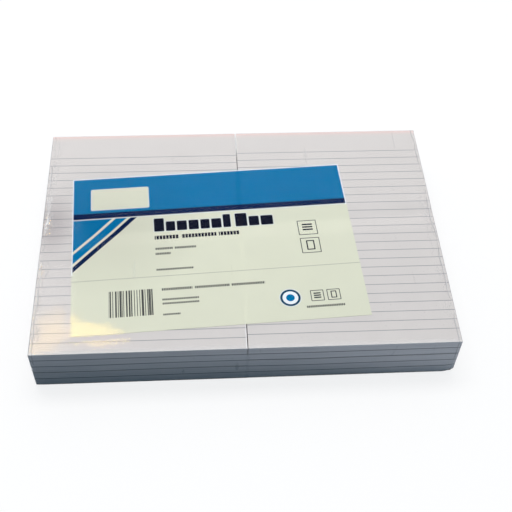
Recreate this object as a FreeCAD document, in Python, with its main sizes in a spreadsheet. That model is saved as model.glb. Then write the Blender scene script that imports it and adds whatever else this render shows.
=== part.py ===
import FreeCAD, Part
import os
import Sketcher

# A sealed pack of ruled A5 writing pads. Two stacks of pads lie side by side with their gummed
# heads towards +Y, a printed label card lies askew on top of them, and one tight skin of clear
# shrink film holds everything. Millimetres, +Z up. The origin is the middle of the pack's
# footprint, on the surface that the pack lies on.

# Driving dimensions: name, value, what it is.
SIZES = [
    ("sheet_width", 148.0, "A5 sheet, side to side"),
    ("sheet_length", 210.0, "A5 sheet, gummed head to tail"),
    ("sheets_height", 6.9, "one pad's block of a hundred sheets"),
    ("board_height", 0.7, "grey backing board under each block"),
    ("gum_coat", 0.3, "dried padding gum, thickness on the head edge"),
    ("gum_rounding", 0.12, "round of the gum coat's outer edges"),
    ("pads_per_stack", 5, "pads in each of the two stacks"),
    ("stack_gap", 0.6, "between the top pads of the two stacks"),
    ("side_jog", 0.1, "one step of a pad's slip to the side"),
    ("end_jog", 0.1, "one step of a pad's slip towards head or tail"),
    ("label_width", 210.0, "label card, long side"),
    ("label_length", 148.0, "label card, short side"),
    ("label_thickness", 0.2, "label card"),
    ("label_turn", 3.1, "degrees that the card lies askew"),
    ("label_x", -20.2, "middle of the card, from the pack's middle"),
    ("label_y", -12.2, "middle of the card, from the pack's middle"),
    ("label_room", 0.8, "where the film comes down beside the card"),
    ("film_wall", 0.1, "shrink film"),
    ("film_slack", 0.1, "between the film and what it wraps"),
    ("groove_depth", 0.8, "how far the film is drawn into the joint"),
    ("groove_room", 0.02, "between the drawn-in film and the pads"),
    ("seam_proud", 0.3, "heat-sealed seam, out from the film"),
    ("seam_height", 1.0, "heat-sealed seam, up and down"),
    ("gather_proud", 0.18, "pleat at the pack's ends, out from the film"),
    ("gather_width", 1.1, "pleat, along the end"),
    ("gather_height", 17.0, "pleat, up and down across the seam"),
    ("gather_span", 176.0, "first to last pleat of an end"),
    ("gather_count", 9, "pleats at each end"),
]

# How the pads of each stack slipped in the wrapper, from the bottom pad up, in jog steps:
# (sideways towards the joint, towards the head).
STACKS = {
    "left": (-1, [(1, 0), (0, -1), (1, 1), (1, 0), (0, 0)]),
    "right": (1, [(0, 1), (1, 0), (-1, -1), (1, 1), (0, 0)]),
}

PAD_HEIGHT = "(Sizes.board_height + Sizes.sheets_height)"
STACK_HEIGHT = f"(Sizes.pads_per_stack * {PAD_HEIGHT})"
CONTENTS_WIDTH = "(2 * Sizes.sheet_width + Sizes.stack_gap + 2 * Sizes.side_jog)"
CONTENTS_LENGTH = "(Sizes.sheet_length + Sizes.gum_coat + 2 * Sizes.end_jog)"
STACK_TOP = f"(Sizes.film_wall + {STACK_HEIGHT})"

# The seam stands out at both ends and at the back, so the film's middle lies a little forward,
# and the gum coat puts the sheets' middle forward of that.
FILM_MIDDLE_Y = "(-Sizes.seam_proud / 2)"
SHEETS_MIDDLE_Y = f"({FILM_MIDDLE_Y} - Sizes.gum_coat / 2)"

# The V that the film makes over the joint. Its inner face runs parallel to the outer one, so
# it starts wider and ends deeper.
GROOVE_HALF = "(Sizes.stack_gap / 2 - Sizes.film_wall - Sizes.groove_room)"
GROOVE_SLOPE = f"atan(Sizes.groove_depth / {GROOVE_HALF})"


def size_sheet(doc):
    """Spreadsheet of the driving dimensions, one named cell each."""
    sheet = doc.addObject("Spreadsheet::Sheet", "Sizes")
    for row, (name, value, note) in enumerate(SIZES, start=1):
        sheet.set(f"A{row}", note)
        sheet.set(f"B{row}", str(value))
        sheet.setAlias(f"B{row}", name)
    doc.recompute()
    return sheet


def new_body(doc, label, x="0", y="0", z="0", turn="0"):
    """Empty body, placed and turned about Z by expressions."""
    body = doc.addObject("PartDesign::Body", label)
    body.Label = label
    body.Placement = FreeCAD.Placement(FreeCAD.Vector(), FreeCAD.Rotation(FreeCAD.Vector(0, 0, 1), 1))
    body.setExpression("Placement.Base.x", x)
    body.setExpression("Placement.Base.y", y)
    body.setExpression("Placement.Base.z", z)
    body.setExpression("Placement.Rotation.Angle", turn)
    return body


def new_sketch(body, name, plane="XY_Plane", x="0", y="0", lift="0", turn="0"):
    """Sketch on one of the body's own planes, moved and turned in that plane, and lifted off it."""
    sketch = body.newObject("Sketcher::SketchObject", name)
    origin_plane = next(item for item in body.Origin.OriginFeatures if item.Role == plane)
    sketch.AttachmentSupport = [(origin_plane, "")]
    sketch.MapMode = "FlatFace"
    turned = FreeCAD.Rotation(FreeCAD.Vector(0, 0, 1), 1)
    sketch.AttachmentOffset = FreeCAD.Placement(FreeCAD.Vector(), turned)
    sketch.setExpression("AttachmentOffset.Base.x", x)
    sketch.setExpression("AttachmentOffset.Base.y", y)
    sketch.setExpression("AttachmentOffset.Base.z", lift)
    sketch.setExpression("AttachmentOffset.Rotation.Angle", turn)
    return sketch


def draw_loop(sketch, points):
    """Closed loop of straight lines, each joined to the next."""
    count = len(points)
    for index in range(count):
        start = FreeCAD.Vector(*points[index])
        end = FreeCAD.Vector(*points[(index + 1) % count])
        sketch.addGeometry(Part.LineSegment(start, end))
    for index in range(count):
        sketch.addConstraint(Sketcher.Constraint("Coincident", index, 2, (index + 1) % count, 1))


def bind_length(sketch, kind, first, second, start, name, expression):
    """Dimension between two points of the sketch, driven by an expression."""
    index = sketch.addConstraint(Sketcher.Constraint(kind, *first, *second, start))
    sketch.renameConstraint(index, name)
    sketch.setExpression(f"Constraints.{name}", expression)


def draw_rectangle(sketch, width, length):
    """Rectangle about the sketch's origin."""
    draw_loop(sketch, [(-1, -1), (1, -1), (1, 1), (-1, 1)])
    for line in (0, 2):
        sketch.addConstraint(Sketcher.Constraint("Horizontal", line))
    for line in (1, 3):
        sketch.addConstraint(Sketcher.Constraint("Vertical", line))
    sketch.addConstraint(Sketcher.Constraint("Symmetric", 0, 1, 2, 1, -1, 1))
    bind_length(sketch, "DistanceX", (0, 1), (0, 2), 2, "width", width)
    bind_length(sketch, "DistanceY", (1, 1), (1, 2), 2, "length", length)


def draw_wedge(sketch, half_width, depth):
    """Triangle with its base on the sketch's X axis and its tip straight below the origin."""
    draw_loop(sketch, [(-1, 0), (0, -1), (1, 0)])
    sketch.addConstraint(Sketcher.Constraint("Symmetric", 2, 1, 2, 2, -1, 1))
    sketch.addConstraint(Sketcher.Constraint("Horizontal", 2))
    sketch.addConstraint(Sketcher.Constraint("PointOnObject", 0, 2, -2))
    bind_length(sketch, "DistanceX", (2, 2), (2, 1), 2, "width", f"2 * {half_width}")
    bind_length(sketch, "DistanceY", (0, 2), (-1, 1), 1, "depth", depth)


def extrude(body, kind, name, sketch, length=None, symmetric=False, downwards=False):
    """Pad or Pocket of a sketch: to a length, or through all when none is given."""
    feature = body.newObject(f"PartDesign::{kind}", name)
    feature.Profile = sketch
    if symmetric:
        feature.SideType = "Symmetric"
    if length is None:
        feature.Type = "ThroughAll"
    else:
        feature.setExpression("Length", length)
    feature.Reversed = downwards
    return feature


def slab(doc, label, width, length, height, **place):
    """Flat rectangular piece standing on its own origin plane."""
    body = new_body(doc, label, **place)
    outline = new_sketch(body, f"{label}_outline")
    draw_rectangle(outline, width, length)
    extrude(body, "Pad", f"{label}_block", outline, height)
    return body


def fillet_edges(doc, body, name, edge_test, radius):
    """Rounds the edges of the body that pass the test."""
    doc.recompute()
    base = body.Tip
    picked = [f"Edge{n}" for n, edge in enumerate(base.Shape.Edges, start=1) if edge_test(edge)]
    fillet = body.newObject("PartDesign::Fillet", name)
    fillet.Base = (base, picked)
    fillet.setExpression("Radius", radius)
    return fillet


def pad_place(side, level, jog):
    """Expressions for the middle of a pad's sheets in plan, and for its underside."""
    towards_joint, towards_head = jog
    centre = "(Sizes.sheet_width + Sizes.stack_gap) / 2"
    x = f"{side} * ({centre} - {towards_joint} * Sizes.side_jog)"
    y = f"{SHEETS_MIDDLE_Y} + {towards_head} * Sizes.end_jog"
    z = f"Sizes.film_wall + {level} * {PAD_HEIGHT}"
    return x, y, z


def make_pad(doc, name, side, level, jog):
    """One writing pad: backing board, block of sheets, and the gum coat along their heads."""
    x, y, z = pad_place(side, level, jog)
    sheet = ("Sizes.sheet_width", "Sizes.sheet_length")
    board = slab(doc, f"{name}_board", *sheet, "Sizes.board_height", x=x, y=y, z=z)
    sheets = slab(doc, f"{name}_sheets", *sheet, "Sizes.sheets_height", x=x, y=y, z=f"{z} + Sizes.board_height")
    head = f"{y} + (Sizes.sheet_length + Sizes.gum_coat) / 2"
    gum = slab(doc, f"{name}_gum", "Sizes.sheet_width", "Sizes.gum_coat", PAD_HEIGHT, x=x, y=head, z=z)

    def on_outer_face(edge):
        return edge.BoundBox.YMin > 0

    fillet_edges(doc, gum, f"{name}_gum_round", on_outer_face, "Sizes.gum_rounding")
    return [sheets, board, gum]


def make_label(doc):
    """Label card, laid askew across both top pads."""
    place = {"x": "Sizes.label_x", "y": "Sizes.label_y", "z": STACK_TOP, "turn": "Sizes.label_turn"}
    return slab(doc, "pack_label", "Sizes.label_width", "Sizes.label_length", "Sizes.label_thickness", **place)


def film_form(doc, label, skin, groove_half, groove_depth):
    """
    What the film wraps, grown by skin: a box with rounded folds, a V drawn into the joint on
    top and down the first pad at head and tail, and a low plateau over the label card, which
    bridges the joint.
    """
    width = f"({CONTENTS_WIDTH} + 2 * Sizes.film_slack + 2 * {skin})"
    length = f"({CONTENTS_LENGTH} + 2 * Sizes.film_slack + 2 * {skin})"
    height = f"({STACK_HEIGHT} + Sizes.film_slack + 2 * {skin})"
    body = slab(doc, label, width, length, height, y=FILM_MIDDLE_Y, z=f"Sizes.film_wall - {skin}")
    fillet_edges(doc, body, f"{label}_folds", lambda edge: True, f"Sizes.film_slack + {skin}")

    over_joint = new_sketch(body, f"{label}_top_groove", plane="XZ_Plane", y=height)
    draw_wedge(over_joint, groove_half, groove_depth)
    extrude(body, "Pocket", f"{label}_top_groove_cut", over_joint, symmetric=True)
    for end, y, turn in (("head", f"{length} / 2", "0"), ("tail", f"-{length} / 2", "180")):
        down_joint = new_sketch(body, f"{label}_{end}_groove", y=y, lift=height, turn=turn)
        draw_wedge(down_joint, groove_half, groove_depth)
        extrude(body, "Pocket", f"{label}_{end}_groove_cut", down_joint, PAD_HEIGHT)

    card = {"x": "Sizes.label_x", "y": f"Sizes.label_y - {FILM_MIDDLE_Y}", "turn": "Sizes.label_turn"}
    plateau = new_sketch(body, f"{label}_plateau", lift=f"{height} - 2 * {groove_depth}", **card)
    margin = f"2 * (Sizes.label_room + {skin})"
    draw_rectangle(plateau, f"Sizes.label_width + {margin}", f"Sizes.label_length + {margin}")
    rise = f"2 * {groove_depth} + Sizes.label_thickness"
    extrude(body, "Pad", f"{label}_plateau_rise", plateau, rise)
    return body, width, length, height


def add_seam(body, width, length, height):
    """Heat-sealed bead at half height, along both ends and the back: the front is the fold."""
    seam_width = f"{width} + 2 * Sizes.seam_proud"
    seam = new_sketch(body, "seam", y="Sizes.seam_proud", lift=f"{height} / 2")
    draw_rectangle(seam, seam_width, length)
    extrude(body, "Pad", "seam_bead", seam, "Sizes.seam_height", symmetric=True)


def add_gathers(body, width, height):
    """Fine pleats across the seam at both ends, where the film's surplus was shrunk in."""
    first = "-Sizes.gather_span / 2"
    pleats = []
    for end, x, turn in (("left", f"-{width} / 2", "-90"), ("right", f"{width} / 2", "90")):
        pleat = new_sketch(body, f"{end}_pleat", x=x, y=first, lift=f"{height} / 2", turn=turn)
        draw_wedge(pleat, "Sizes.gather_width / 2", "Sizes.gather_proud")
        pleats.append(extrude(body, "Pad", f"{end}_pleat_ridge", pleat, "Sizes.gather_height", symmetric=True))
    row = body.newObject("PartDesign::LinearPattern", "pleat_rows")
    row.Originals = pleats
    along = next(item for item in body.Origin.OriginFeatures if item.Role == "Y_Axis")
    row.Direction = (along, [""])
    row.setExpression("Length", "Sizes.gather_span")
    row.setExpression("Occurrences", "Sizes.gather_count")
    body.Tip = row


def make_film(doc):
    """The wrapper: its outside form less its inside form, one closed skin."""
    inner_half = f"({GROOVE_HALF} + Sizes.film_wall * tan({GROOVE_SLOPE} / 2))"
    inner_depth = f"(Sizes.groove_depth + Sizes.film_wall * (1 / cos({GROOVE_SLOPE}) - 1))"
    inside, _, _, _ = film_form(doc, "film_inside", "0", inner_half, inner_depth)
    outside, width, length, height = film_form(
        doc, "film_outside", "Sizes.film_wall", GROOVE_HALF, "Sizes.groove_depth")
    add_seam(outside, width, length, height)
    add_gathers(outside, width, height)
    film = doc.addObject("Part::Cut", "shrink_film")
    film.Label = "shrink_film"
    film.Base = outside
    film.Tool = inside
    return film


def check(doc, pieces):
    """Stops if a feature failed, or if a piece isn't one sound solid."""
    for item in doc.Objects:
        if "Invalid" in item.State or "Error" in item.State:
            raise RuntimeError(f"{item.Label} failed: {item.State}")
    for piece in pieces:
        if piece.Shape.isNull() or not piece.Shape.isValid() or len(piece.Shape.Solids) != 1:
            raise RuntimeError(f"{piece.Label} isn't one sound solid")


def main():
    os.makedirs("parts", exist_ok=True)
    doc = FreeCAD.newDocument("WritingPadPack")
    sheet = size_sheet(doc)
    pieces = []
    for stack, (side, jogs) in STACKS.items():
        for level in range(int(sheet.pads_per_stack)):
            jog = jogs[level % len(jogs)]
            pieces += make_pad(doc, f"{stack}_pad_{level + 1}", side, level, jog)
    pieces.append(make_label(doc))
    pieces.append(make_film(doc))
    doc.recompute()
    check(doc, pieces)
    for piece in pieces:
        piece.Shape.exportStep(f"parts/{piece.Label}.step")
        box = piece.Shape.BoundBox
        print(f"{piece.Label}: {piece.Shape.Volume / 1000:.2f} cm3, z {box.ZMin:.2f} to {box.ZMax:.2f}")
    whole = pieces[-1].Shape.BoundBox
    print(f"pack {whole.XLength:.2f} x {whole.YLength:.2f} x {whole.ZLength:.2f}")
    print(f"middle {whole.Center.x:.4f}, {whole.Center.y:.4f}, floor {whole.ZMin:.4f}")


main()
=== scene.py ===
import math

import bmesh
import bpy
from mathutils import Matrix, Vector, noise


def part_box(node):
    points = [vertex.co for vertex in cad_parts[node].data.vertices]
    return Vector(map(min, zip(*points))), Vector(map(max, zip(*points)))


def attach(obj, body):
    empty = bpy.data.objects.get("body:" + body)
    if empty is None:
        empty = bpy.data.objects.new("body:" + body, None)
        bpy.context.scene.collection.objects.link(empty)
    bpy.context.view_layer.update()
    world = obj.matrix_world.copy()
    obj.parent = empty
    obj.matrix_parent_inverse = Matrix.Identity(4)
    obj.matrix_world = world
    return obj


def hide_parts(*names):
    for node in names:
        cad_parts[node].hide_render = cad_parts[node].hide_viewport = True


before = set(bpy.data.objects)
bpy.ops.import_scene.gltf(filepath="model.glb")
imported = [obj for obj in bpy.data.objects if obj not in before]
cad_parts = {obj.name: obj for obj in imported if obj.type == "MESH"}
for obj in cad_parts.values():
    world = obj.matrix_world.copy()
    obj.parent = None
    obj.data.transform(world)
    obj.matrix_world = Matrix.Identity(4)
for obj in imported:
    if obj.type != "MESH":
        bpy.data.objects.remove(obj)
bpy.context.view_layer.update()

MM = 0.001

# Where the pack's pieces lie, from the frame. The card's own size and turn are those of the part.
FILM_LOW, FILM_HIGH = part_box("shrink_film")
LABEL_LOW, LABEL_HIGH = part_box("pack_label")
PADS = ["left_pad", "right_pad"]
PADS_PER_STACK = 5
TOP_SHEETS = {stack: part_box(f"{stack}_{PADS_PER_STACK}_sheets") for stack in PADS}
STACK_TOP = TOP_SHEETS["left_pad"][1].z
LABEL_MIDDLE = (LABEL_LOW + LABEL_HIGH) / 2
LABEL_WIDTH = 210 * MM
LABEL_LENGTH = 148 * MM
LABEL_TURN = math.radians(3.1)

# The film: a tight skin with rounded folds, a sealed seam and pleats at the ends.
SEAM_PROUD = 0.3 * MM
SEAM_HEIGHT = 1.0 * MM
SEAM_FLANK = 0.15 * MM
FILM_OVER_PAPER = 0.2 * MM
FILM_CLEARANCE = 0.08 * MM
FOLD_RADIUS = 0.5 * MM
SKIN_LOW = Vector((FILM_LOW.x + SEAM_PROUD, FILM_LOW.y, FILM_LOW.z))
SKIN_HIGH = Vector((
    FILM_HIGH.x - SEAM_PROUD, FILM_HIGH.y - SEAM_PROUD, STACK_TOP + FILM_OVER_PAPER))
SEAM_LEVEL = (SKIN_LOW.z + SKIN_HIGH.z) / 2
# Middles of the painted shade at the left end: a small grey patch and its wider, dimmer surround.
LEFT_SHADE_MIDDLE = (SKIN_LOW.x + 8 * MM, 10 * MM, 0)
WIDE_SHADE_MIDDLE = (-98 * MM, 8 * MM, 0)
# Along the ends, the film is crumpled most round this place, and smoother beyond the reach.
CRUMPLE_MIDDLE_Y = -30 * MM
CRUMPLE_REACH = (40 * MM, 75 * MM)
CRUMPLE_LEAST = 0.25
CRUMPLE_RIGHT = 0.3
PLEATS = 9
PLEAT_SPAN = 176 * MM
PLEAT_PROUD = 0.18 * MM
# Groove where the film is drawn into the joint, and the slope by which it comes down off the card.
GROOVE_DEPTH = 0.6 * MM
FRONT_GROOVE_DEPTH = 0.7 * MM
GROOVE_HALF = 0.3 * MM
CARD_SLOPE = (-3.4 * MM, -1.0 * MM)
# The skin's grid: cuts along x, y and z, and how much they crowd towards the ends.
FILM_CUTS = (95, 239, 21)
FILM_CROWDING = (0.8, 0.3, 0.3)

# The shallow dip that runs across both top pads, leaning a little.
DIP_DEPTH = (0.85 * MM, 0.5 * MM)
DIP_REACH = (15 * MM, 8 * MM)
DIP_MIDDLE_Y = 5.7 * MM
DIP_LEAN = 0.054

# How high the lowest sheets curl up at the front corners, over what length and up to what height.
CURL_LEFT = 0.5 * MM
CURL_RIGHT = 4.2 * MM
CURL_LENGTH = 8 * MM
CURL_HEIGHT = 15 * MM
CURL_SLICES = (1.2, 2.4, 4, 6, 8)
CURL_CORNER = (30 * MM, 100 * MM)
CURL_LEAST = 0.1
CURLED_BELOW = 9 * MM

# How much the stacks sway in height, and how near the lower pads press together at the joint.
SWAY = 1.1 * MM
PRESSED_GAP = 0.06 * MM
PRESSED_BELOW = STACK_TOP - 8 * MM

# Spacing of the slices that let the flat pieces bend, finer round the dip.
SLICE_STEP = 12 * MM
DIP_SLICE_STEP = 2.2 * MM
DIP_SLICED = 24 * MM

# Ruling printed on every sheet: how far the first line lies from the gummed head.
RULING_PITCH = 8 * MM
RULING_LINES = 23
FIRST_LINE = {"left_pad": 24.8 * MM, "right_pad": 22.6 * MM}
LINE_WIDTH = 0.48 * MM
LINE_SOFTNESS = 0.1 * MM

# Width of the soft edge of printed patches and slanting stripes, in millimetres of the card.
PATCH_SOFTNESS = 0.12
SLANT_SOFTNESS = 0.15


def ease(value, low, high):
    """0 below low, 1 above high, and a smooth step between them."""
    share = min(max((value - low) / (high - low), 0.0), 1.0)
    return share * share * (3 - 2 * share)


def dip(x, y):
    """Depth of the dip across the top pads, wider and deeper at the left end."""
    share = ease(x, SKIN_LOW.x, -90 * MM)
    depth = DIP_DEPTH[0] + (DIP_DEPTH[1] - DIP_DEPTH[0]) * share
    reach = DIP_REACH[0] + (DIP_REACH[1] - DIP_REACH[0]) * share
    off = (y - DIP_MIDDLE_Y - DIP_LEAN * x) / reach
    return depth * math.exp(-off * off)


# Shader building.

class Tree:
    """A node tree, with short ways to add nodes whose inputs are values or other nodes' outputs."""

    def __init__(self, tree):
        self.tree = tree

    def add(self, kind, inputs=None, **settings):
        made = self.tree.nodes.new(kind)
        for name, value in settings.items():
            setattr(made, name, value)
        for name, value in (inputs or {}).items():
            if isinstance(value, bpy.types.NodeSocket):
                self.tree.links.new(value, made.inputs[name])
            else:
                made.inputs[name].default_value = value
        return made

    def math(self, operation, *values, clamp=False):
        inputs = dict(enumerate(values))
        return self.add("ShaderNodeMath", inputs, operation=operation, use_clamp=clamp).outputs[0]

    def vector(self, operation, *values):
        inputs = dict(enumerate(values))
        made = self.add("ShaderNodeVectorMath", inputs, operation=operation)
        return made.outputs["Value" if operation == "LENGTH" else "Vector"]

    def blend(self, share, first, second, kind="MIX"):
        """Colour mix: first where share is 0, second where it is 1."""
        made = self.add("ShaderNodeMix", data_type="RGBA", blend_type=kind)
        for index, value in ((0, share), (6, first), (7, second)):
            if isinstance(value, bpy.types.NodeSocket):
                self.tree.links.new(value, made.inputs[index])
            else:
                made.inputs[index].default_value = value
        return made.outputs[2]

    def remap(self, value, low, high, new_low, new_high):
        inputs = {0: value, 1: low, 2: high, 3: new_low, 4: new_high}
        return self.add("ShaderNodeMapRange", inputs).outputs[0]

    def noise(self, place, scale, detail=2.0, roughness=0.5):
        inputs = {"Vector": place, "Scale": scale, "Detail": detail, "Roughness": roughness}
        return self.add("ShaderNodeTexNoise", inputs).outputs["Fac"]

    def stretched(self, place, scale):
        """The place with each axis multiplied, for grain that runs one way."""
        return self.vector("MULTIPLY", place, scale)


def new_group(name, inputs, outputs):
    """Empty shader group with its sockets: returns its tree, input node and output node."""
    made = bpy.data.node_groups.new(name, "ShaderNodeTree")
    kinds = {"float": "NodeSocketFloat", "vector": "NodeSocketVector", "colour": "NodeSocketColor"}
    for socket, kind in inputs.items():
        made.interface.new_socket(socket, in_out="INPUT", socket_type=kinds[kind])
    for socket, kind in outputs.items():
        made.interface.new_socket(socket, in_out="OUTPUT", socket_type=kinds[kind])
    tree = Tree(made)
    return tree, tree.add("NodeGroupInput").outputs, tree.add("NodeGroupOutput")


def use_group(tree, name, inputs):
    """Places a group in a material or in another group."""
    made = tree.add("ShaderNodeGroup", node_tree=bpy.data.node_groups[name])
    for socket, value in inputs.items():
        if isinstance(value, bpy.types.NodeSocket):
            tree.tree.links.new(value, made.inputs[socket])
        else:
            made.inputs[socket].default_value = value
    return made.outputs


def link(tree, output, target):
    tree.tree.links.new(output, target)


def ruling_group():
    """Mask of straight lines across the sheet, evenly spaced down from the head."""
    inputs = {"Y": "float", "Head": "float", "First": "float", "Pitch": "float", "Lines": "float",
              "Width": "float"}
    tree, get, put = new_group("ruling", inputs, {"Mask": "float"})
    below_first = tree.math("SUBTRACT", tree.math("SUBTRACT", get["Head"], get["Y"]), get["First"])
    steps = tree.math("DIVIDE", below_first, get["Pitch"])
    nearest = tree.math("ROUND", steps)
    off = tree.math("ABSOLUTE", tree.math("SUBTRACT", steps, nearest))
    off = tree.math("MULTIPLY", off, get["Pitch"])
    half = tree.math("MULTIPLY", get["Width"], 0.5)
    line = tree.math("SUBTRACT", half, off)
    line = tree.math("MULTIPLY_ADD", line, 1 / LINE_SOFTNESS, 0.5, clamp=True)
    after_first = tree.math("GREATER_THAN", nearest, -0.5)
    before_last = tree.math("LESS_THAN", nearest, tree.math("SUBTRACT", get["Lines"], 0.5))
    ruled = tree.math("MULTIPLY", after_first, before_last)
    link(tree, tree.math("MULTIPLY", line, ruled), put.inputs["Mask"])


def grain_group():
    """Paper fibre: cloudy shade, fine fibre and sparse flecks, as colour factor and height."""
    tree, get, put = new_group(
        "paper_grain", {"Place": "vector", "Flecks": "float"}, {"Shade": "float", "Height": "float"})
    cloud = tree.noise(get["Place"], 45.0, 3.0)
    fibre = tree.noise(get["Place"], 1900.0, 3.0, 0.65)
    fleck = tree.remap(tree.noise(get["Place"], 520.0, 1.0), 0.72, 0.78, 0.0, 1.0)
    shade = tree.math("MULTIPLY_ADD", cloud, 0.05, 0.955)
    shade = tree.math("MULTIPLY_ADD", fibre, 0.04, tree.math("SUBTRACT", shade, 0.02))
    shade = tree.math("SUBTRACT", shade, tree.math("MULTIPLY", fleck, get["Flecks"]))
    link(tree, shade, put.inputs["Shade"])
    link(tree, fibre, put.inputs["Height"])


def layers_group():
    """Cut edge of a block of sheets: streaks that run level, fine and coarse."""
    tree, get, put = new_group(
        "sheet_edges", {"Place": "vector"}, {"Shade": "float", "Height": "float"})
    coarse = tree.noise(tree.stretched(get["Place"], (14.0, 14.0, 1500.0)), 1.0, 3.0, 0.6)
    fine = tree.noise(tree.stretched(get["Place"], (45.0, 45.0, 9000.0)), 1.0, 2.0, 0.7)
    shade = tree.math("MULTIPLY_ADD", coarse, 0.42, 0.72)
    shade = tree.math("MULTIPLY_ADD", fine, 0.16, tree.math("SUBTRACT", shade, 0.08))
    link(tree, shade, put.inputs["Shade"])
    link(tree, tree.math("MULTIPLY_ADD", fine, 0.5, coarse), put.inputs["Height"])


def patch_group():
    """Mask of a rectangle or, with its corners rounded, of a disc, in a print's own millimetres."""
    inputs = {"Place": "vector", "Middle": "vector", "Half": "vector", "Corner": "float"}
    tree, get, put = new_group("print_patch", inputs, {"Mask": "float"})
    off = tree.vector("ABSOLUTE", tree.vector("SUBTRACT", get["Place"], get["Middle"]))
    corner = tree.add("ShaderNodeCombineXYZ", {"X": get["Corner"], "Y": get["Corner"]}).outputs[0]
    past = tree.vector("SUBTRACT", off, tree.vector("SUBTRACT", get["Half"], corner))
    flat = tree.vector("MULTIPLY", tree.vector("MAXIMUM", past, (0, 0, 0)), (1, 1, 0))
    outside = tree.math("SUBTRACT", tree.vector("LENGTH", flat), get["Corner"])
    mask = tree.math("MULTIPLY_ADD", outside, -1 / PATCH_SOFTNESS, 1.0, clamp=True)
    link(tree, mask, put.inputs["Mask"])


def slant_group():
    """Mask of a slanting stripe: between two distances along a direction in the print."""
    inputs = {"Place": "vector", "Across": "vector", "From": "float", "To": "float"}
    tree, get, put = new_group("print_slant", inputs, {"Mask": "float"})
    dot = tree.add("ShaderNodeVectorMath", {0: get["Place"], 1: get["Across"]}, operation="DOT_PRODUCT")
    along = dot.outputs["Value"]
    after = tree.math("SUBTRACT", along, get["From"])
    after = tree.math("MULTIPLY_ADD", after, 1 / SLANT_SOFTNESS, 0.5, clamp=True)
    before = tree.math("SUBTRACT", get["To"], along)
    before = tree.math("MULTIPLY_ADD", before, 1 / SLANT_SOFTNESS, 0.5, clamp=True)
    link(tree, tree.math("MULTIPLY", after, before), put.inputs["Mask"])


def crumple_group():
    """Height of the film's fine wrinkles: strong where Ends is 1, faint elsewhere."""
    tree, get, put = new_group(
        "film_crumple", {"Place": "vector", "Ends": "float"}, {"Height": "float"})
    sharp = tree.noise(tree.stretched(get["Place"], (260.0, 420.0, 260.0)), 1.0, 3.0, 0.6)
    ridge = tree.math("ABSOLUTE", tree.math("SUBTRACT", sharp, 0.5))
    wave = tree.noise(tree.stretched(get["Place"], (22.0, 9.0, 22.0)), 1.0, 1.0)
    strong = tree.math("MULTIPLY", ridge, get["Ends"])
    link(tree, tree.math("MULTIPLY_ADD", wave, 0.25, strong), put.inputs["Height"])


def crease_shade_highlights_and_streaks(tree, place):
    """Painted shade along fine creases, wider painted highlights and faint pale streaks, all running
    along the ends.
    """
    bend = tree.math("MULTIPLY", tree.noise(place, 90.0, 2.0), 0.016)
    shift = tree.add("ShaderNodeCombineXYZ", {"X": bend, "Z": bend}).outputs[0]
    bent = tree.vector("ADD", place, shift)
    marks = []
    for scale, thin in (((300.0, 38.0, 300.0), 0.016), ((260.0, 24.0, 260.0), 0.045)):
        grain = tree.noise(tree.stretched(bent, scale), 1.0, 1.0)
        off = tree.math("ABSOLUTE", tree.math("SUBTRACT", grain, 0.5))
        marks.append(tree.remap(off, 0.0, thin, 1.0, 0.0))
    streak = tree.noise(tree.stretched(place, (190.0, 16.0, 60.0)), 1.0, 1.0)
    return *marks, tree.remap(streak, 0.72, 0.78, 0.0, 0.12)


def end_folds(tree, place):
    """A line of painted shade and a painted highlight beside it, wandering along each end where the
    film turns over.
    """
    across = tree.add("ShaderNodeSeparateXYZ", {0: place}).outputs["X"]
    wander = tree.noise(tree.stretched(place, (0.0, 42.0, 0.0)), 1.0, 2.0)
    fold = tree.math("MULTIPLY_ADD", wander, 5.0 * MM, SKIN_HIGH.x - 5.0 * MM)
    past = tree.math("SUBTRACT", tree.math("ABSOLUTE", across), fold)
    fold_shows = tree.remap(tree.noise(place, 31.0, 1.0), 0.4, 0.55, 0.0, 0.9)
    dark = tree.remap(tree.math("ABSOLUTE", past), 0.0, 0.3 * MM, 1.0, 0.0)
    beside = tree.math("ABSOLUTE", tree.math("SUBTRACT", past, 0.5 * MM))
    pale = tree.remap(beside, 0.0, 0.4 * MM, 1.0, 0.0)
    return tree.math("MULTIPLY", dark, fold_shows), tree.math("MULTIPLY", pale, fold_shows)


def round_patch(tree, place, middle, flatness, radii, strength):
    """Soft patch round a middle, strong inside the first radius and gone at the second."""
    off = tree.vector("MULTIPLY", tree.vector("SUBTRACT", place, middle), flatness)
    return tree.remap(tree.vector("LENGTH", off), *radii, strength, 0.0)


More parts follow.
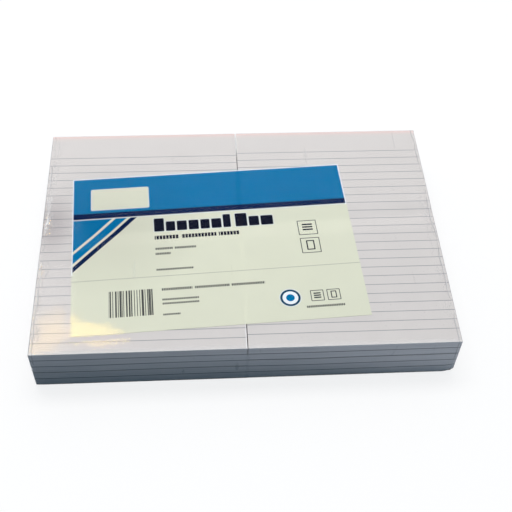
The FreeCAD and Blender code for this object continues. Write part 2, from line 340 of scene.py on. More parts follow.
def creases_group():
    """Drawn film: painted shade along creases and folds near the ends, painted highlights beside them,
    faint streaks, and painted shade in patches at the left with greyer crumpled film.
    """
    tree, get, put = new_group(
        "film_creases", {"Place": "vector", "Ends": "float"}, {"Dark": "float", "Pale": "float"})
    crease_shade, crease_highlights, streaks = crease_shade_highlights_and_streaks(tree, get["Place"])
    dark_fold, pale_fold = end_folds(tree, get["Place"])
    dark = tree.math("MAXIMUM", dark_fold, tree.math("MULTIPLY", crease_shade, get["Ends"]))
    pale = tree.math("MAXIMUM", pale_fold, tree.math("MULTIPLY", crease_highlights, get["Ends"]))
    # Painted shade at the left end: a small grey patch and a wide dim surround. Crumpled film, lying in
    # layers, is greyed a little as well.
    shade_and_crumple_grey = round_patch(tree, get["Place"], LEFT_SHADE_MIDDLE, (1.0, 0.6, 0.0), (4 * MM, 22 * MM), 0.42)
    shade_and_crumple_grey = tree.math("MAXIMUM", shade_and_crumple_grey, tree.math("MULTIPLY", get["Ends"], 0.25))
    wide_shade = round_patch(tree, get["Place"], WIDE_SHADE_MIDDLE, (1.0, 1.0, 0.0), (15 * MM, 70 * MM), 0.17)
    shade_and_crumple_grey = tree.math("MAXIMUM", shade_and_crumple_grey, wide_shade)
    link(tree, tree.math("MAXIMUM", dark, shade_and_crumple_grey), put.inputs["Dark"])
    link(tree, tree.math("ADD", pale, streaks, clamp=True), put.inputs["Pale"])


for build_group in (ruling_group, grain_group, layers_group, patch_group, slant_group, crumple_group,
                    creases_group):
    build_group()


def new_material(name):
    """Empty material: returns it, its tree and its output node."""
    made = bpy.data.materials.new(name)
    made.use_nodes = True
    made.node_tree.nodes.clear()
    tree = Tree(made.node_tree)
    return made, tree, tree.add("ShaderNodeOutputMaterial")


def object_place(tree):
    return tree.add("ShaderNodeTexCoord").outputs["Object"]


def object_way(tree):
    """Direction in the world's own shader."""
    return tree.add("ShaderNodeTexCoord").outputs["Generated"]


def finish_surface(tree, output, colour, roughness, height=None, relief=0.0, **sockets):
    """Principled surface with an optional bump, wired to the output."""
    inputs = {"Base Color": colour, "Roughness": roughness, **sockets}
    if height is not None:
        bump_inputs = {"Height": height, "Distance": relief, "Strength": 1.0}
        inputs["Normal"] = tree.add("ShaderNodeBump", bump_inputs).outputs["Normal"]
    surface = tree.add("ShaderNodeBsdfPrincipled", inputs)
    link(tree, surface.outputs["BSDF"], output.inputs["Surface"])


# Paper, board and gum.

PAPER = (0.76, 0.718, 0.69, 1)
# Cut edges: a darker, cooler copy of the paper, as painted shade.
SHADED_PAPER_EDGE = (0.66, 0.655, 0.67, 1)
RULING_INK = (0.29, 0.29, 0.32, 1)
BOARD = (0.16, 0.165, 0.18, 1)
GUM = (0.80, 0.70, 0.69, 1)
GUM_BLEED = (0.95, 0.70, 0.66, 1)


def sheets_material(stack):
    """White recycled paper, ruled in grey on its faces, with sheet streaks on its cut edges."""
    material, tree, output = new_material(f"ruled_paper_{stack}")
    place = object_place(tree)
    axes = tree.add("ShaderNodeSeparateXYZ", {0: place}).outputs
    facing = tree.add("ShaderNodeSeparateXYZ", {0: tree.add("ShaderNodeNewGeometry").outputs["Normal"]})
    lying = tree.math("GREATER_THAN", tree.math("ABSOLUTE", facing.outputs["Z"]), 0.7)
    sideways = tree.math("GREATER_THAN", tree.math("ABSOLUTE", facing.outputs["X"]), 0.7)
    lines = use_group(tree, "ruling", {
        "Y": axes["Y"], "Head": TOP_SHEETS[stack][1].y, "First": FIRST_LINE[stack],
        "Pitch": RULING_PITCH, "Lines": RULING_LINES, "Width": LINE_WIDTH})["Mask"]
    grain = use_group(tree, "paper_grain", {"Place": place, "Flecks": 0.1})
    edges = use_group(tree, "sheet_edges", {"Place": place})
    taken_up = tree.math("MULTIPLY_ADD", grain["Height"], 0.35, 0.7, clamp=True)
    inked = tree.math("MULTIPLY", lines, taken_up)
    bleed = tree.math("MULTIPLY", tree.math("MULTIPLY", lines, sideways), edges["Shade"])
    from_head = tree.math("SUBTRACT", TOP_SHEETS[stack][1].y, axes["Y"])
    gummed = tree.remap(from_head, 0.5 * MM, 4.5 * MM, 0.6, 0.0)
    face = tree.blend(gummed, tree.blend(inked, PAPER, RULING_INK), GUM_BLEED)
    # The cut edges start from a darker, cooler copy of the paper: painted shade.
    edge = tree.blend(tree.math("MULTIPLY", bleed, 0.35), SHADED_PAPER_EDGE, RULING_INK)
    edge = tree.blend(1.0, edge, edges["Shade"], "MULTIPLY")
    colour = tree.blend(lying, edge, tree.blend(1.0, face, grain["Shade"], "MULTIPLY"))
    height = tree.math("ADD", tree.math("MULTIPLY", grain["Height"], 0.1),
                       tree.math("MULTIPLY", edges["Height"], tree.math("SUBTRACT", 1.0, lying)))
    finish_surface(tree, output, colour, 0.8, height, 0.06 * MM, **{"Specular IOR Level": 0.05})
    return material


def board_material():
    """Grey board: mixed fibres and a rough cut edge."""
    material, tree, output = new_material("grey_board")
    place = object_place(tree)
    grain = use_group(tree, "paper_grain", {"Place": place, "Flecks": 0.3})
    edges = use_group(tree, "sheet_edges", {"Place": place})
    colour = tree.blend(1.0, BOARD, grain["Shade"], "MULTIPLY")
    colour = tree.blend(0.6, colour, tree.blend(1.0, colour, edges["Shade"], "MULTIPLY"))
    finish_surface(tree, output, colour, 0.9, grain["Height"], 0.08 * MM)
    return material


def gum_material():
    """Dried padding gum: a faintly pink, slightly shiny coat in which the sheets show."""
    material, tree, output = new_material("padding_gum")
    place = object_place(tree)
    edges = use_group(tree, "sheet_edges", {"Place": place})
    blobs = tree.noise(tree.stretched(place, (60.0, 60.0, 260.0)), 1.0, 3.0)
    shade = tree.math("MULTIPLY", edges["Shade"], tree.math("MULTIPLY_ADD", blobs, 0.25, 0.9))
    colour = tree.blend(1.0, GUM, shade, "MULTIPLY")
    roughness = tree.math("MULTIPLY_ADD", blobs, 0.3, 0.3)
    height = tree.math("MULTIPLY_ADD", blobs, 2.0, edges["Height"])
    finish_surface(tree, output, colour, roughness, height, 0.08 * MM)
    return material


# The label's print. All places are millimetres from the card's left and top edges.

CARD = (0.80, 0.80, 0.655, 1)
CARD_BORDER = (0.80, 0.83, 0.80, 1)
KEYLINE_WHITE = (0.93, 0.96, 0.98, 1)
BLUE = (0.0, 0.205, 0.445, 1)
NAVY = (0.003, 0.016, 0.08, 1)
INK = (0.006, 0.008, 0.024, 1)
FAINT_INK = (0.09, 0.09, 0.085, 1)
DOT_INK = (0.26, 0.26, 0.23, 1)
RING_INK = (0.012, 0.075, 0.15, 1)
BORDER = 0.8
HEADER = 36.5
NAVY_RULE = 5.4
KEYLINE = 0.9
# Direction across the slanted bars, and how far along it the header's lower left corner lies.
SLANT = (0.721, -0.693)
SLANT_START = SLANT[0] * -105 + SLANT[1] * (74 - HEADER - NAVY_RULE)


class LabelPrint:
    """Lays patches of colour on the card, one over the other."""

    def __init__(self, tree, place):
        self.tree = tree
        self.place = place
        self.colour = CARD

    def mask(self, left, top, width, height, corner=0.0):
        middle = (left + width / 2 - LABEL_WIDTH / MM / 2, LABEL_LENGTH / MM / 2 - top - height / 2, 0)
        half = (width / 2, height / 2, 0)
        inputs = {"Place": self.place, "Middle": middle, "Half": half, "Corner": corner}
        return use_group(self.tree, "print_patch", inputs)["Mask"]

    def slant(self, across, start, end):
        inputs = {"Place": self.place, "Across": (*across, 0), "From": start, "To": end}
        return use_group(self.tree, "print_slant", inputs)["Mask"]

    def lay(self, mask, colour):
        self.colour = self.tree.blend(mask, self.colour, colour)

    def patch(self, colour, *place, corner=0.0):
        self.lay(self.mask(*place, corner), colour)

    def frame(self, colour, left, top, width, height, line, corner=0.0):
        """Outline of a rectangle."""
        outer = self.mask(left, top, width, height, corner)
        hole = (left + line, top + line, width - 2 * line, height - 2 * line)
        inner = self.mask(*hole, max(corner - line, 0))
        self.lay(self.tree.math("SUBTRACT", outer, inner, clamp=True), colour)

    def cells(self, left, top, width, height, cell, share, seed):
        """Mask of a row of cells in a band, of which a share is filled: rows of blocks or bars."""
        band = self.mask(left, top, width, height)
        across = self.tree.add("ShaderNodeSeparateXYZ", {0: self.place}).outputs["X"]
        steps = self.tree.math("DIVIDE", across, cell)
        number = self.tree.math("ADD", self.tree.math("FLOOR", steps), seed)
        white = self.tree.add("ShaderNodeTexWhiteNoise", {"W": number}, noise_dimensions="1D")
        filled = self.tree.math("LESS_THAN", white.outputs["Value"], share)
        return self.tree.math("MULTIPLY", band, filled), self.tree.math("FRACT", steps)


def print_fields(sheet):
    """Blue header with a navy rule under it, slanted bars stepping down at the left, pale border."""
    wide, long = LABEL_WIDTH / MM, LABEL_LENGTH / MM
    sheet.patch(BLUE, 0, 0, wide, HEADER)
    sheet.patch(NAVY, 0, HEADER, wide, NAVY_RULE)
    sheet.patch(CARD_BORDER, 0, HEADER + NAVY_RULE, wide, KEYLINE)
    top = HEADER + NAVY_RULE + KEYLINE
    below = sheet.mask(0, top, wide, long - top)
    for start, end, colour in ((-40, 22, BLUE), (24, 30, BLUE), (32, 35.5, NAVY)):
        bar = sheet.slant(SLANT, SLANT_START + start, SLANT_START + end)
        sheet.lay(sheet.tree.math("MULTIPLY", bar, below), colour)
    inside = sheet.mask(BORDER, BORDER, wide - 2 * BORDER, long - 2 * BORDER)
    beside_header = sheet.mask(0, 0, wide, top)
    beside_bars = sheet.mask(0, top, BORDER, 52.0)
    beside_blue = sheet.tree.math("MAXIMUM", beside_header, beside_bars)
    sheet.lay(sheet.tree.math("SUBTRACT", beside_blue, inside, clamp=True), KEYLINE_WHITE)


def print_bold_rows(sheet):
    """A bold row of plain blocks in two lengths, and a finer bold row under it."""
    groups = ((61.0, ((7.4, 1), (6.8, 0), (7.4, 0), (7.4, 0), (6.8, 0), (7.4, 0), (5.6, 1))),
              (122.5, ((8.8, 1), (7.6, 0), (9.2, 0))))
    for left, blocks in groups:
        for width, tall in blocks:
            top = 45.5 if tall else 49.0
            sheet.patch(CARD_BORDER, left - 0.6, top - 0.6, width + 1.2, 59.2 - top, corner=1.3)
            sheet.patch(INK, left, top, width, 58.0 - top, corner=0.8)
            left += width + 1.5
    small_row(sheet, INK, 61, 62.4, 18, 3.6, 2.4, 11)
    small_row(sheet, INK, 81, 62.4, 26, 3.6, 2.4, 37)
    small_row(sheet, INK, 109, 62.4, 15.5, 3.6, 2.4, 71)


def small_row(sheet, colour, left, top, width, height, cell, seed, gap=0.22):
    """A row of small blocks, with a gap after each."""
    band, within = sheet.cells(left, top, width, height, cell, 1.0, seed)
    inked = sheet.tree.math("GREATER_THAN", within, gap)
    sheet.lay(sheet.tree.math("MULTIPLY", band, inked), colour)


def print_small_rows(sheet):
    """Rows of fine blocks, down the card."""
    rows = [
        (61, 74.2, 13, 1.9), (75.5, 74.2, 15.5, 1.9), (61, 79.0, 11, 1.9), (61, 94.0, 27, 1.6),
        (63.8, 111.9, 22, 2.0), (87.5, 111.9, 25, 2.0), (114, 111.9, 24, 2.0),
        (63.8, 121.1, 26, 1.5), (63.8, 124.6, 26, 1.5), (64, 134.1, 12, 1.4), (165, 136.4, 27.5, 1.7),
    ]
    for number, (left, top, width, height) in enumerate(rows):
        small_row(sheet, FAINT_INK, left, top, width, height, 1.25, 13 * number, 0.3)


def print_bars(sheet):
    """Block of upright bars: thick ones at random over evenly spaced thin ones."""
    band, _ = sheet.cells(26.4, 111.8, 30.9, 22.6, 0.5, 0.3, 5)
    sheet.lay(band, FAINT_INK)
    band, within = sheet.cells(26.4, 111.8, 30.9, 22.6, 1.9, 1.0, 0)
    thin = sheet.tree.math("LESS_THAN", within, 0.27)
    sheet.lay(sheet.tree.math("MULTIPLY", band, thin), FAINT_INK)


def print_marks(sheet):
    """Bare plate, outlined squares with plain page figures, a plain roundel and the dotted line."""
    sheet.patch(CARD_BORDER, 13.9, 11.8, 44.3, 21.8, corner=1.4)
    sheet.patch(CARD, 14.6, 12.5, 42.9, 20.4, corner=0.9)
    for top in (56.6, 74.2):
        sheet.frame(INK, 169, top, 14.4, 14.4, 0.55, corner=0.5)
    for lift in (0.0, 2.6, 5.2):
        sheet.patch(INK, 172.4, 60.0 + lift, 7.6, 1.3)
    sheet.frame(INK, 173.2, 76.7, 6.0, 9.0, 0.9, corner=0.4)
    for left in (169.4, 181.3):
        sheet.frame(INK, left, 123.2, 9.4, 9.4, 0.5, corner=0.4)
    for lift in (0.0, 1.9, 3.8):
        sheet.patch(INK, 171.6, 125.4 + lift, 5.0, 0.9)
    sheet.frame(INK, 184.0, 124.8, 4.0, 6.0, 0.7, corner=0.3)
    sheet.patch(CARD_BORDER, 146.6, 120.3, 16.0, 16.0, corner=8.0)
    sheet.patch(RING_INK, 147.4, 121.1, 14.4, 14.4, corner=7.2)
    sheet.patch(KEYLINE_WHITE, 149.0, 122.7, 11.2, 11.2, corner=5.6)
    sheet.patch(BLUE, 151.6, 125.3, 6.0, 6.0, corner=3.0)
    band, within = sheet.cells(0, 100.6, LABEL_WIDTH / MM, 0.4, 1.3, 1.0, 0)
    dots = sheet.tree.math("LESS_THAN", within, 0.5)
    sheet.lay(sheet.tree.math("MULTIPLY", band, dots), DOT_INK)


def label_material():
    """Printed card."""
    material, tree, output = new_material("printed_card")
    place = object_place(tree)
    inputs = {
        "Vector": place, "Location": LABEL_MIDDLE, "Rotation": (0, 0, LABEL_TURN), "Scale": (MM,) * 3}
    on_card = tree.add("ShaderNodeMapping", inputs, vector_type="TEXTURE").outputs["Vector"]
    sheet = LabelPrint(tree, on_card)
    print_fields(sheet)
    print_bold_rows(sheet)
    print_small_rows(sheet)
    print_bars(sheet)
    print_marks(sheet)
    grain = use_group(tree, "paper_grain", {"Place": place, "Flecks": 0.0})
    facing = tree.add("ShaderNodeSeparateXYZ", {0: tree.add("ShaderNodeNewGeometry").outputs["Normal"]})
    printed = tree.math("GREATER_THAN", facing.outputs["Z"], 0.7)
    colour = tree.blend(printed, CARD, sheet.colour)
    colour = tree.blend(1.0, colour, grain["Shade"], "MULTIPLY")
    finish_surface(tree, output, colour, 0.5, grain["Height"], 0.01 * MM, **{"Specular IOR Level": 0.0})
    return material


# Film.

FILM_TINT = (0.985, 0.99, 0.995, 1)
FILM_IOR = 1.15
FILM_SHADE = (0.62, 0.6, 0.63, 1)
FILM_GLOSS = (1, 1, 1, 1)
# White laid over the film for its painted highlights and faint streaks.
FILM_PALE = (0.95, 0.94, 0.93, 1)


def film_crumpled(tree, place, axes, from_middle, upright):
    """Mask of the crumpled film: patchy, near the ends, most round one place, least at the right."""
    ends = tree.remap(from_middle, SKIN_HIGH.x - 10 * MM, SKIN_HIGH.x - 3 * MM, 0.0, 1.0)
    patchy = tree.remap(tree.noise(place, 24.0, 1.0), 0.42, 0.56, 0.15, 1.0)
    along = tree.math("ABSOLUTE", tree.math("SUBTRACT", axes["Y"], CRUMPLE_MIDDLE_Y))
    patchy = tree.math("MULTIPLY", patchy, tree.remap(along, *CRUMPLE_REACH, 1.0, CRUMPLE_LEAST))
    side = tree.remap(axes["X"], 0.0, 1 * MM, 1.0, CRUMPLE_RIGHT)
    patchy = tree.math("MULTIPLY", patchy, side)
    crumpled = tree.math("MULTIPLY", ends, patchy)
    return tree.math("MULTIPLY", crumpled, tree.math("MULTIPLY_ADD", upright, -0.5, 1.0))


def film_painted_highlights(tree, axes, from_middle, upright):
    """Mask of painted highlights on the film's top: along the front fold, where it bridges the joint,
    and beside the joint at the front.
    """
    fold = tree.remap(axes["Y"], SKIN_LOW.y + 0.5 * MM, SKIN_LOW.y + 4 * MM, 0.22, 0.0)
    bridging = tree.math("MULTIPLY", tree.math("LESS_THAN", from_middle, 0.7 * MM),
                         tree.remap(axes["Y"], 73 * MM, 90 * MM, 0.0, 0.6))
    beside = tree.math("ABSOLUTE", tree.math("ADD", axes["X"], 0.9 * MM))
    beside = tree.math("MULTIPLY", tree.math("LESS_THAN", beside, 0.4 * MM),
                       tree.remap(axes["Y"], -90 * MM, -82 * MM, 0.6, 0.0))
    pale_share = tree.math("MAXIMUM", fold, tree.math("MAXIMUM", bridging, beside))
    return tree.math("MULTIPLY", tree.math("SUBTRACT", 1.0, upright), pale_share)


def film_roughness(tree, place, from_middle, crumpled):
    """Smeary gloss, duller where the film is crumpled or drawn into the joint."""
    smear = tree.math("MULTIPLY_ADD", tree.noise(place, 60.0, 3.0), 0.03, 0.03)
    at_joint = tree.math("LESS_THAN", from_middle, 1.2 * MM)
    rubbed = tree.math("MAXIMUM", tree.math("MULTIPLY", at_joint, 0.5),
                       tree.math("MULTIPLY", crumpled, 0.14))
    return tree.math("MAXIMUM", smear, rubbed)


def film_material():
    """Clear film: light passes through, under a thin gloss that Fresnel makes stronger edge on."""
    material, tree, output = new_material("clear_film")
    place = object_place(tree)
    axes = tree.add("ShaderNodeSeparateXYZ", {0: place}).outputs
    from_middle = tree.math("ABSOLUTE", axes["X"])
    facing = tree.add("ShaderNodeSeparateXYZ", {0: tree.add("ShaderNodeNewGeometry").outputs["Normal"]})
    upright = tree.math("LESS_THAN", facing.outputs["Z"], 0.5)
    crumpled = film_crumpled(tree, place, axes, from_middle, upright)
    height = use_group(tree, "film_crumple", {"Place": place, "Ends": crumpled})["Height"]
    bump_inputs = {"Height": height, "Distance": 0.5 * MM, "Strength": 1.0}
    normal = tree.add("ShaderNodeBump", bump_inputs).outputs["Normal"]
    roughness = film_roughness(tree, place, from_middle, crumpled)
    gloss_inputs = {"Color": FILM_GLOSS, "Roughness": roughness, "Normal": normal}
    gloss = tree.add("ShaderNodeBsdfGlossy", gloss_inputs)
    creases = use_group(tree, "film_creases", {"Place": place, "Ends": crumpled})
    # Where Dark is 1 the film passes less light: painted shade along creases and folds and at the left
    # end, and greyer crumpled film.
    tint = tree.blend(creases["Dark"], FILM_TINT, FILM_SHADE)
    clear = tree.add("ShaderNodeBsdfTransparent", {"Color": tint})
    # Diffuse white over the film where pale_share is 1: painted highlights along the front fold, the
    # joint, creases and folds, and faint streaks.
    pale_layer = tree.add("ShaderNodeBsdfDiffuse", {"Color": FILM_PALE, "Normal": normal})
    pale_share = tree.math("MAXIMUM", film_painted_highlights(tree, axes, from_middle, upright), creases["Pale"])
    body = tree.add("ShaderNodeMixShader", {0: pale_share, 1: clear.outputs[0], 2: pale_layer.outputs[0]})
    fresnel = tree.add("ShaderNodeFresnel", {"IOR": FILM_IOR, "Normal": normal})
    layers = {0: fresnel.outputs[0], 1: body.outputs[0], 2: gloss.outputs[0]}
    mixed = tree.add("ShaderNodeMixShader", layers)
    link(tree, mixed.outputs[0], output.inputs["Surface"])
    return material


# Meshes.

def slice_mesh(mesh, axis, places):
    """Cuts the whole mesh by planes square to an axis, so that it can bend there."""
    normal = [0, 0, 0]
    normal[axis] = 1
    for place in places:
        point = [0, 0, 0]
        point[axis] = place
        whole = mesh.verts[:] + mesh.edges[:] + mesh.faces[:]
        bmesh.ops.bisect_plane(mesh, geom=whole, plane_co=point, plane_no=normal, dist=0.01 * MM)


def even_places(low, high, step):
    """Places between two ends, about a step apart."""
    count = max(int((high - low) / step), 1)
    return [low + (high - low) * index / count for index in range(1, count)]


def end_lift(x, y, z):
    """How far the lowest sheets curl up at the two ends, most at the right end's front corner."""
    most = CURL_RIGHT if x > 0 else CURL_LEFT
    share = max(abs(x) - SKIN_HIGH.x + CURL_LENGTH, 0) / CURL_LENGTH
    corner = CURL_LEAST + (1 - CURL_LEAST) * ease(-y, *CURL_CORNER)
    return most * corner * share * share * ease(-z, -CURL_HEIGHT, 0)


def settle(point):
    """Where a point of the stacks ends up: pads sway a little in height and dip on top."""
    rise = min(point.z / STACK_TOP, 1.0)
    sway = SWAY * noise.noise(Vector((point.x / 0.07, point.y / 0.11, 3.7)))
    lift = sway * math.sin(math.pi * rise) - dip(point.x, point.y) * ease(rise, 0.7, 1.0)
    return Vector((point.x, point.y, point.z + lift + end_lift(*point)))


def settled_piece(node, material):
    """Stand-in for a flat CAD piece: the same block, sliced and settled."""
    low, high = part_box(node)
    mesh = bmesh.new()
    mesh.from_mesh(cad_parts[node].data)
    bmesh.ops.remove_doubles(mesh, verts=mesh.verts, dist=0.001 * MM)
    bmesh.ops.dissolve_limit(mesh, angle_limit=math.radians(1), verts=mesh.verts, edges=mesh.edges)
    slice_mesh(mesh, 0, even_places(low.x, high.x, SLICE_STEP))
    if low.z < CURLED_BELOW:
        outer = -1 if low.x < 0 else 1
        slice_mesh(mesh, 0, sorted(outer * (SKIN_HIGH.x - step * MM) for step in CURL_SLICES))
    slice_mesh(mesh, 1, even_places(low.y, high.y, SLICE_STEP))
    if high.z > STACK_TOP - 0.1 * MM:
        dipped = even_places(DIP_MIDDLE_Y - DIP_SLICED, DIP_MIDDLE_Y + DIP_SLICED, DIP_SLICE_STEP)
        slice_mesh(mesh, 1, dipped)
    for vert in mesh.verts:
        if low.z < PRESSED_BELOW and abs(vert.co.x) < 1 * MM:
            vert.co.x = math.copysign(PRESSED_GAP / 2, vert.co.x)
        vert.co = settle(vert.co)
    return piece_from(mesh, f"{node}_settled", material, [node])


def piece_from(mesh, name, material, nodes, smooth=False):
    """Makes the object, gives it its material and slot, and lets it stand for its CAD nodes."""
    data = bpy.data.meshes.new(name)
    mesh.to_mesh(data)
    mesh.free()
    data.materials.clear()
    data.materials.append(material)
    if smooth:
        data.shade_smooth()
    piece = bpy.data.objects.new(name, data)
    bpy.context.scene.collection.objects.link(piece)
    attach(piece, "root")
    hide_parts(*nodes)
    return piece


def label_cover(x, y):
    """1 over the label card and 0 away from it, with a short slope where the film comes down."""
    off = Vector((x - LABEL_MIDDLE.x, y - LABEL_MIDDLE.y))
    along = off.x * math.cos(LABEL_TURN) + off.y * math.sin(LABEL_TURN)
    across = -off.x * math.sin(LABEL_TURN) + off.y * math.cos(LABEL_TURN)
    inside = min(LABEL_WIDTH / 2 - abs(along), LABEL_LENGTH / 2 - abs(across))
    return ease(inside, *CARD_SLOPE)


def end_crinkle(x, y):
    """Crumpled strip where the film turns over at the ends, patchy along the edge."""
    from_end = SKIN_HIGH.x - abs(x)
    reach = math.exp(-((from_end - 2.5 * MM) / (3.2 * MM)) ** 2)
    patch = ease(noise.noise(Vector((x / 0.2, y / 0.028, 1.3))), -0.1, 0.25)
    patch *= 1 - (1 - CRUMPLE_LEAST) * ease(abs(y - CRUMPLE_MIDDLE_Y), *CRUMPLE_REACH)
    patch *= CRUMPLE_RIGHT if x > 0 else 1
    crumple = noise.noise(Vector((x / 0.0026, y / 0.0034, 0.4)))
    return 0.14 * MM * reach * patch * crumple


def film_top(x, y):
    """Height of the film over the top pads and the label."""
    cover = label_cover(x, y)
    paper = STACK_TOP + FILM_CLEARANCE
    over = LABEL_HIGH.z - STACK_TOP
    groove = GROOVE_DEPTH * max(0.0, 1 - abs(x) / GROOVE_HALF)
    wave = 0.03 * MM * noise.noise(Vector((x / 0.03, y / 0.05, 8.1)))
    return paper + over * cover - groove * (1 - cover) - dip(x, y) + wave + end_crinkle(x, y)


def seam_share(z):
    """1 on the sealed seam's bead and 0 away from it."""
    return ease(SEAM_HEIGHT / 2 + SEAM_FLANK - abs(z - SEAM_LEVEL), 0.0, SEAM_FLANK)


def end_bulge(y, z):
    """How far the film stands out at an end: seam, pleats and waves."""
    seam = seam_share(z)
    pleats = 0.0
    for number in range(PLEATS):
        middle = -PLEAT_SPAN / 2 + PLEAT_SPAN * number / (PLEATS - 1)
        pleats += math.exp(-((y - middle) / (0.9 * MM)) ** 2)
    fade = math.exp(-((z - SEAM_LEVEL) / (8 * MM)) ** 2)
    wave = 0.07 * MM * noise.noise(Vector((y / 0.008, z / 0.012, 5.5)))
    return max(SEAM_PROUD * 0.95 * seam, PLEAT_PROUD * pleats * fade + wave)


def long_side_bulge(x, z, back):
    """How far the film stands out at the front or back: seam at the back, groove at the joint."""
    seam = 0.0
    if back:
        seam = SEAM_PROUD * 0.95 * seam_share(z)
    first_pad = ease(z, STACK_TOP - 8.2 * MM, STACK_TOP - 7.4 * MM)
    groove = FRONT_GROOVE_DEPTH * first_pad * max(0.0, 1 - abs(x) / GROOVE_HALF)
    wave = 0.05 * MM * noise.noise(Vector((x / 0.02, z / 0.015, 2.2)))
    return max(seam, wave) - groove


def shape_film(point):
    """Rounds the skin's folds and moves its faces to where the film lies."""
    low = SKIN_LOW + Vector((FOLD_RADIUS,) * 3)
    high = SKIN_HIGH - Vector((FOLD_RADIUS,) * 3)
    core = Vector([min(max(point[axis], low[axis]), high[axis]) for axis in range(3)])
    past = point - core
    place = core + past.normalized() * FOLD_RADIUS
    x, y, z = place
    outwards = past.normalized()
    inner = ease(z, SKIN_LOW.z, SKIN_LOW.z + 2 * MM) * ease(-z, -SKIN_HIGH.z, -SKIN_HIGH.z + 1 * MM)
    x += end_bulge(y, z) * outwards.x * inner
    y += long_side_bulge(x, z, past.y > 0) * outwards.y
    top = (film_top(x, y) - SKIN_HIGH.z) * ease(z, SKIN_HIGH.z - 3 * MM, SKIN_HIGH.z)
    return Vector((x, y, z + top + end_lift(x, y, z) * 0.95))


def graded(share, crowding):
    """Moves an even place between -1 and 1 towards the ends, so that the grid is finer there."""
    return (1 - crowding) * share + crowding * math.sin(share * math.pi / 2)


def make_film():
    """The wrapper: one closed skin, fine enough at its ends for the crumpled film."""
    mesh = bmesh.new()
    bmesh.ops.create_cube(mesh, size=2)
    for axis, cuts in enumerate(FILM_CUTS):
        running = [edge for edge in mesh.edges if abs((edge.verts[0].co - edge.verts[1].co)[axis]) > 1]
        bmesh.ops.subdivide_edges(mesh, edges=running, cuts=cuts, use_grid_fill=True)
    middle = (SKIN_LOW + SKIN_HIGH) / 2
    half = (SKIN_HIGH - SKIN_LOW) / 2
    for vert in mesh.verts:
        vert.co = [middle[axis] + half[axis] * graded(vert.co[axis], FILM_CROWDING[axis])
                   for axis in range(3)]
    for axis in range(3):
        for side, inwards in ((SKIN_LOW, 1), (SKIN_HIGH, -1)):
            slice_mesh(mesh, axis, [side[axis] + inwards * share * FOLD_RADIUS for share in (0.4, 1.0)])
    slice_mesh(mesh, 0, [step * GROOVE_HALF for step in (-3, -1, 0, 1, 3)])
    seam_edges = (SEAM_HEIGHT / 2, SEAM_HEIGHT / 2 + SEAM_FLANK)
    slice_mesh(mesh, 2, sorted(SEAM_LEVEL + side * edge for edge in seam_edges for side in (-1, 1)))
    for vert in mesh.verts:
        vert.co = shape_film(vert.co)
    bmesh.ops.recalc_face_normals(mesh, faces=mesh.faces)
    return piece_from(mesh, "film_wrap", film_material(), ["shrink_film"], smooth=True)


def dress_pads():
    """Every pad's sheets, board and gum, settled and finished."""
    board = board_material()
    gum = gum_material()
    for stack in PADS:
        paper = sheets_material(stack)
        for number in range(1, PADS_PER_STACK + 1):
            pad = f"{stack}_{number}"
            settled_piece(f"{pad}_sheets", paper)
            settled_piece(f"{pad}_board", board)
            settled_piece(f"{pad}_gum", gum)


dress_pads()
settled_piece("pack_label", label_material())
make_film()


# Stage: floor, light and camera.

# The camera as fitted to the pack's corners: millimetres of lens and sensor, metres and degrees.
CAMERA_SENSOR = 36
CAMERA_LENS = 64.53
CAMERA_PLACE = (-0.02828, -0.44697, 0.56481)
CAMERA_TURN = (38.805, -1.589, -3.192)


def floor_material():
    """White to the eye, with a soft shadow, but dark to the light that reaches the pack's sides."""
    material, tree, output = new_material("floor")
    path = tree.add("ShaderNodeLightPath").outputs
    seen = tree.math("MAXIMUM", path["Is Camera Ray"], path["Is Glossy Ray"])
    seen = tree.math("MAXIMUM", seen, path["Is Transmission Ray"])
    place = object_place(tree)
    axes = tree.add("ShaderNodeSeparateXYZ", {0: place}).outputs
    # Under the pack's footprint the floor doesn't glow: a painted shadow under the pack.
    under_pack = (SKIN_HIGH.x - 1 * MM, SKIN_HIGH.y - 1 * MM, 0)
    beyond = tree.vector("SUBTRACT", tree.vector("ABSOLUTE", place), under_pack)
    past = tree.add("ShaderNodeSeparateXYZ", {0: beyond}).outputs
    uncovered = tree.math("GREATER_THAN", tree.math("MAXIMUM", past["X"], past["Y"]), 0.0)
    strength = tree.math("MULTIPLY", uncovered, 0.82)
    glow = tree.add("ShaderNodeEmission", {"Color": (1, 1, 1, 1), "Strength": strength})
    pale = tree.add("ShaderNodeBsdfDiffuse", {"Color": (0.2, 0.2, 0.2, 1)})
    shown = tree.add("ShaderNodeAddShader", {0: glow.outputs[0], 1: pale.outputs[0]})
    # To light bounced off it, the floor is almost black in front of the pack near its foot, pale
    # farther out and grey behind: painted shadow, which darkens the pack's front.
    away = tree.vector("LENGTH", tree.vector("MULTIPLY", place, (0.4, 1, 1)))
    near = tree.math("SUBTRACT", away, 0.105)
    lean = tree.math("MULTIPLY", axes["X"], 0.27)
    share = tree.remap(tree.math("ADD", near, lean), 0.03, 0.085, 0.0, 1.0)
    cast = tree.blend(share, (0.0, 0.01, 0.02, 1), (0.97, 0.95, 0.97, 1))
    behind = tree.remap(axes["Y"], -0.1, -0.02, 0.0, 1.0)
    cast = tree.blend(behind, cast, (0.6, 0.6, 0.6, 1))
    dark = tree.add("ShaderNodeBsdfDiffuse", {"Color": cast})
    mixed = tree.add("ShaderNodeMixShader", {0: seen, 1: dark.outputs[0], 2: shown.outputs[0]})
    link(tree, mixed.outputs[0], output.inputs["Surface"])
    return material


def make_floor():
    mesh = bmesh.new()
    bmesh.ops.create_grid(mesh, x_segments=1, y_segments=1, size=4)
    data = bpy.data.meshes.new("floor")
    mesh.to_mesh(data)
    mesh.free()
    data.materials.append(floor_material())
    floor = bpy.data.objects.new("floor", data)
    floor.location.z = -0.05 * MM
    bpy.context.scene.collection.objects.link(floor)


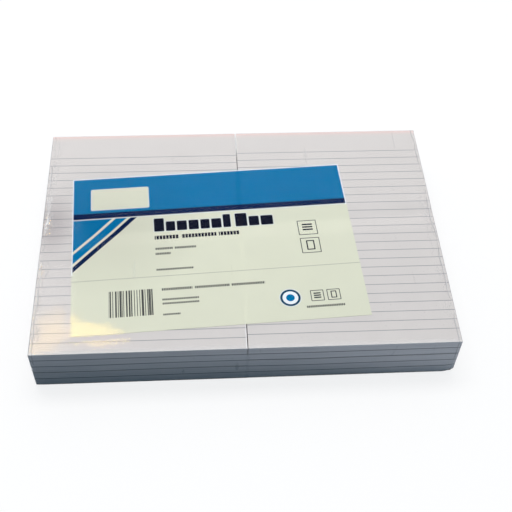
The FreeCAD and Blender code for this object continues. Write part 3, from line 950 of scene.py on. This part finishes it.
def make_world():
    """White behind all that is seen, and soft light, dim and cool from the front, fuller elsewhere."""
    world = bpy.data.worlds.new("studio")
    world.use_nodes = True
    world.node_tree.nodes.clear()
    tree = Tree(world.node_tree)
    path = tree.add("ShaderNodeLightPath").outputs
    seen = tree.math("MAXIMUM", path["Is Camera Ray"], path["Is Glossy Ray"])
    seen = tree.math("MAXIMUM", seen, path["Is Transmission Ray"])
    white = tree.add("ShaderNodeBackground", {"Color": (1, 1, 1, 1), "Strength": 1.0})
    way = tree.add("ShaderNodeSeparateXYZ", {0: object_way(tree)}).outputs
    rear = tree.remap(way["Y"], -0.25, 0.15, 0.0, 1.0)
    soft = tree.blend(rear, (0.11, 0.19, 0.26, 1), (0.85, 0.87, 0.9, 1))
    around = tree.add("ShaderNodeBackground", {"Color": soft, "Strength": 1.0})
    mixed = tree.add("ShaderNodeMixShader", {0: seen, 1: around.outputs[0], 2: white.outputs[0]})
    output = tree.add("ShaderNodeOutputWorld")
    link(tree, mixed.outputs[0], output.inputs["Surface"])
    bpy.context.scene.world = world


WARM = (1, 0.62, 0.1)
SOFT_WHITE = (1, 0.95, 0.93)


def add_lamp(name, place, size, power, colour, tilt=0, turn=0, shape="RECTANGLE", mirrored=False):
    """Area lamp that looks down. A mirrored one shows only in gloss, and a plain one never does."""
    lamp = bpy.data.lights.new(name, "AREA")
    lamp.shape = shape
    lamp.size, lamp.size_y = size
    lamp.energy = power
    lamp.color = colour
    holder = bpy.data.objects.new(name, lamp)
    holder.location = place
    holder.rotation_euler = (math.radians(tilt), 0, math.radians(turn))
    holder.visible_diffuse = not mirrored
    holder.visible_glossy = mirrored
    bpy.context.scene.collection.objects.link(holder)


def make_lights():
    """Soft light from overhead, and panels and two warm lamps that only the film mirrors."""
    add_lamp("overhead", (-0.1, 0.34, 1.3), (0.9, 0.4), 8.5, (1, 0.97, 0.945), tilt=-9)
    add_lamp("rear_panel", (0.05, 1.07, 1.0), (1.2, 0.46), 3.4, SOFT_WHITE, mirrored=True)
    add_lamp("haze_panel", (-0.41, 0.62, 1.0), (0.24, 0.26), 1.0, SOFT_WHITE, mirrored=True)
    for name, place, size, power, turn in (
            ("warm_long", (-0.259, 0.562, 1.0), (0.166, 0.052), 1.15, -7),
            ("warm_short", (-0.336, 0.567, 1.0), (0.138, 0.078), 3.0, 52)):
        add_lamp(name, place, size, power, WARM, turn=turn, shape="ELLIPSE", mirrored=True)


def make_camera():
    """The photograph's viewing angle."""
    camera = bpy.data.cameras.new("camera")
    camera.sensor_width = CAMERA_SENSOR
    camera.lens = CAMERA_LENS
    holder = bpy.data.objects.new("camera", camera)
    holder.location = CAMERA_PLACE
    holder.rotation_euler = [math.radians(angle) for angle in CAMERA_TURN]
    bpy.context.scene.collection.objects.link(holder)
    bpy.context.scene.camera = holder


make_floor()
make_world()
make_lights()
make_camera()
bpy.context.scene.view_settings.view_transform = "Standard"
